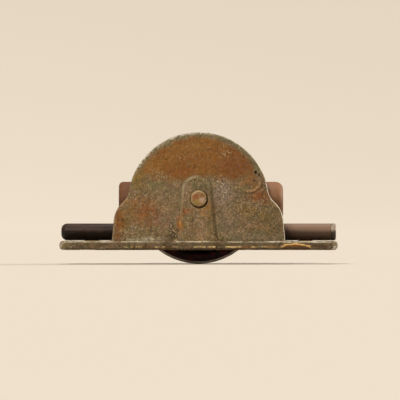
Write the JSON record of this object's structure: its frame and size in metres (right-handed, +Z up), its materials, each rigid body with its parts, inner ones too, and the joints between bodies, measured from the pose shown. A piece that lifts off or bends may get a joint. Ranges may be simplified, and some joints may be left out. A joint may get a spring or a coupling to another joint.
{
  "type": "barn door bottom roller",
  "caption": "Cast-iron bottom roller for a sliding barn door: wheel in a domed housing on a long flat flange, with round bars along the back.",
  "frame": {"origin": "middle of the flange's seating face, the plane that bears on the door's bottom edge, straight under the axle", "axes": "+Z up into the door, square to the seating face; +X along the door and the flange; -Y is the front, the side with the raised axle strap"},
  "size_m": [0.1968, 0.0767, 0.0931],
  "materials": {
    "cast_iron": "rusted, pitted sand casting",
    "wheel_iron": "dark red paint, worn bright on the tread",
    "bearing_steel": "greased steel",
    "cage_brass": "dull brass",
    "worn_steel": "worn, lightly rusted steel",
    "lower_bar_paint": "satin dark brown paint",
    "upper_bar_paint": "satin red-brown paint",
    "pale_metal": "rubbed bare metal"
  },
  "bodies": {
    "housing": {"front_housing": "cast_iron", "rear_housing": "cast_iron", "axle": "worn_steel", "thrust_washer_front": "bearing_steel", "thrust_washer_rear": "bearing_steel", "housing_screw_left": "worn_steel", "housing_screw_right": "worn_steel", "lower_bar": "lower_bar_paint", "lower_bar_ferrule": "pale_metal", "lower_bar_screw_left": "worn_steel", "lower_bar_screw_right": "worn_steel", "upper_bar": "upper_bar_paint", "upper_bar_bolt_left": "worn_steel", "upper_bar_bolt_right": "worn_steel"},
    "wheel": {"wheel": "wheel_iron", "hub_sleeve": "bearing_steel"},
    "cage": {"roller_cage": "cage_brass"},
    "roller_1": {"bearing_roller_1": "bearing_steel"},
    "roller_2": {"bearing_roller_2": "bearing_steel"},
    "roller_3": {"bearing_roller_3": "bearing_steel"},
    "roller_4": {"bearing_roller_4": "bearing_steel"},
    "roller_5": {"bearing_roller_5": "bearing_steel"},
    "roller_6": {"bearing_roller_6": "bearing_steel"},
    "roller_7": {"bearing_roller_7": "bearing_steel"}
  },
  "joints": [
    {"name": "wheel_spin", "type": "hinge", "parent": "housing", "child": "wheel", "pos_m": [0, 0, 0.03025], "axis": [0, 1, 0], "continuous": true},
    {"name": "cage_spin", "type": "hinge", "parent": "housing", "child": "cage", "pos_m": [0, 0, 0.03025], "axis": [0, 1, 0], "continuous": true},
    {"name": "roller_1_spin", "type": "hinge", "parent": "cage", "child": "roller_1", "pos_m": [0.00815, 0, 0.03025], "axis": [0, 1, 0], "continuous": true},
    {"name": "roller_2_spin", "type": "hinge", "parent": "cage", "child": "roller_2", "pos_m": [0.00508, 0, 0.03662], "axis": [0, 1, 0], "continuous": true},
    {"name": "roller_3_spin", "type": "hinge", "parent": "cage", "child": "roller_3", "pos_m": [-0.00181, 0, 0.0382], "axis": [0, 1, 0], "continuous": true},
    {"name": "roller_4_spin", "type": "hinge", "parent": "cage", "child": "roller_4", "pos_m": [-0.00734, 0, 0.03379], "axis": [0, 1, 0], "continuous": true},
    {"name": "roller_5_spin", "type": "hinge", "parent": "cage", "child": "roller_5", "pos_m": [-0.00734, 0, 0.02671], "axis": [0, 1, 0], "continuous": true},
    {"name": "roller_6_spin", "type": "hinge", "parent": "cage", "child": "roller_6", "pos_m": [-0.00181, 0, 0.0223], "axis": [0, 1, 0], "continuous": true},
    {"name": "roller_7_spin", "type": "hinge", "parent": "cage", "child": "roller_7", "pos_m": [0.00508, 0, 0.02388], "axis": [0, 1, 0], "continuous": true}
  ],
  "couplings": [
    {"joint": "cage_spin", "follows": "wheel_spin", "ratio": 0.6595},
    {"joint": "roller_1_spin", "follows": "wheel_spin", "ratio": 1.4078},
    {"joint": "roller_2_spin", "follows": "wheel_spin", "ratio": 1.4078},
    {"joint": "roller_3_spin", "follows": "wheel_spin", "ratio": 1.4078},
    {"joint": "roller_4_spin", "follows": "wheel_spin", "ratio": 1.4078},
    {"joint": "roller_5_spin", "follows": "wheel_spin", "ratio": 1.4078},
    {"joint": "roller_6_spin", "follows": "wheel_spin", "ratio": 1.4078},
    {"joint": "roller_7_spin", "follows": "wheel_spin", "ratio": 1.4078}
  ]
}
